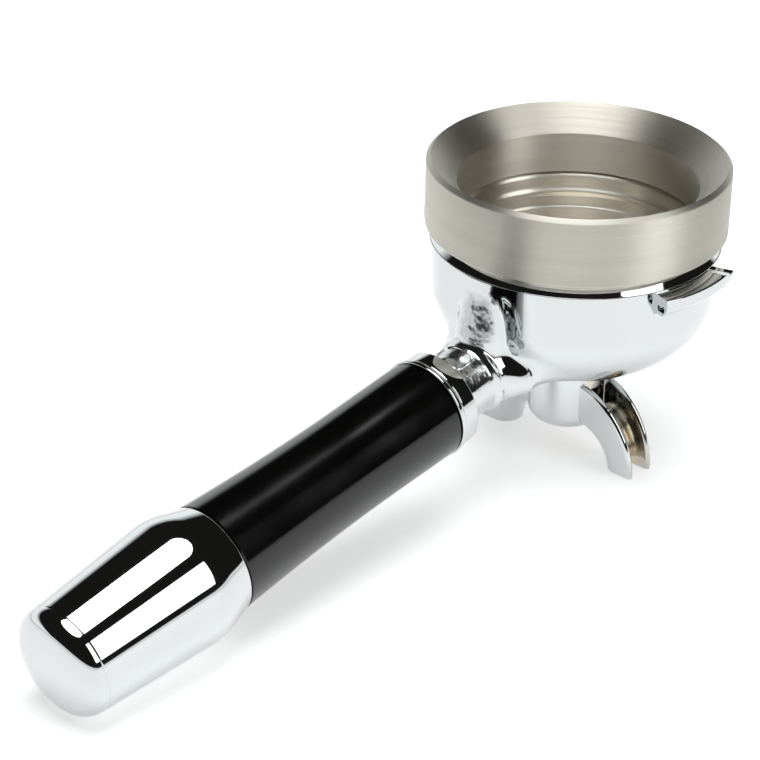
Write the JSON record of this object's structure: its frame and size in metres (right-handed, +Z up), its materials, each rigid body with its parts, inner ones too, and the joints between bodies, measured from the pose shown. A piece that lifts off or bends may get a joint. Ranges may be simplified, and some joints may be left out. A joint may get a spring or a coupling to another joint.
{
  "type": "portafilter",
  "caption": "Espresso machine portafilter: a chromed bowl with two side lugs, a dosing funnel over a filter basket, a black grip with a chrome end cap and an open twin spout.",
  "frame": {"origin": "bottom centre of the bounding box, at the height of the spout tips and of the end cap's underside", "axes": "+Z up along the bowl's axis, +Y from the handle towards the bowl, +X across the two lugs and the two spout arms"},
  "size_m": [0.0796, 0.2039, 0.0768],
  "materials": {
    "chrome": "mirror-polished chrome plating",
    "brushed_steel": "turned stainless steel, brushed round its axis",
    "pressed_steel": "pressed stainless sheet, satin inside",
    "plain_steel": "plain zinc-plated steel",
    "gloss_plastic": "polished black plastic",
    "rubber": "matt black rubber"
  },
  "bodies": {
    "body": {"body": "chrome", "front_collar": "chrome", "grip": "gloss_plastic", "end_cap": "chrome", "tie_rod": "plain_steel", "flat_washer": "plain_steel", "lock_washer": "plain_steel", "rod_nut": "plain_steel", "basket_spring": "plain_steel"},
    "basket": {"filter_basket": "pressed_steel"},
    "funnel": {"dosing_funnel": "brushed_steel"},
    "seal": {"spout_seal": "rubber"},
    "spout": {"twin_spout": "chrome"}
  },
  "joints": [
    {"name": "basket_lift", "type": "slide", "parent": "body", "child": "basket", "axis": [0, 0, 1], "range_m": [0, 0.035]},
    {"name": "funnel_lift", "type": "slide", "parent": "basket", "child": "funnel", "axis": [0, 0, 1], "range_m": [0, 0.025]},
    {"name": "seal_drop", "type": "slide", "parent": "body", "child": "seal", "axis": [0, 0, -1], "range_m": [0, 0.00502]},
    {"name": "spout_turn", "type": "hinge", "parent": "seal", "child": "spout", "pos_m": [0, 0.06569, 0.0231], "axis": [0, 0, -1], "range_deg": [0, 1350]}
  ],
  "couplings": [
    {"joint": "seal_drop", "follows": "spout_turn", "m_per_rad": 0.00021279}
  ]
}
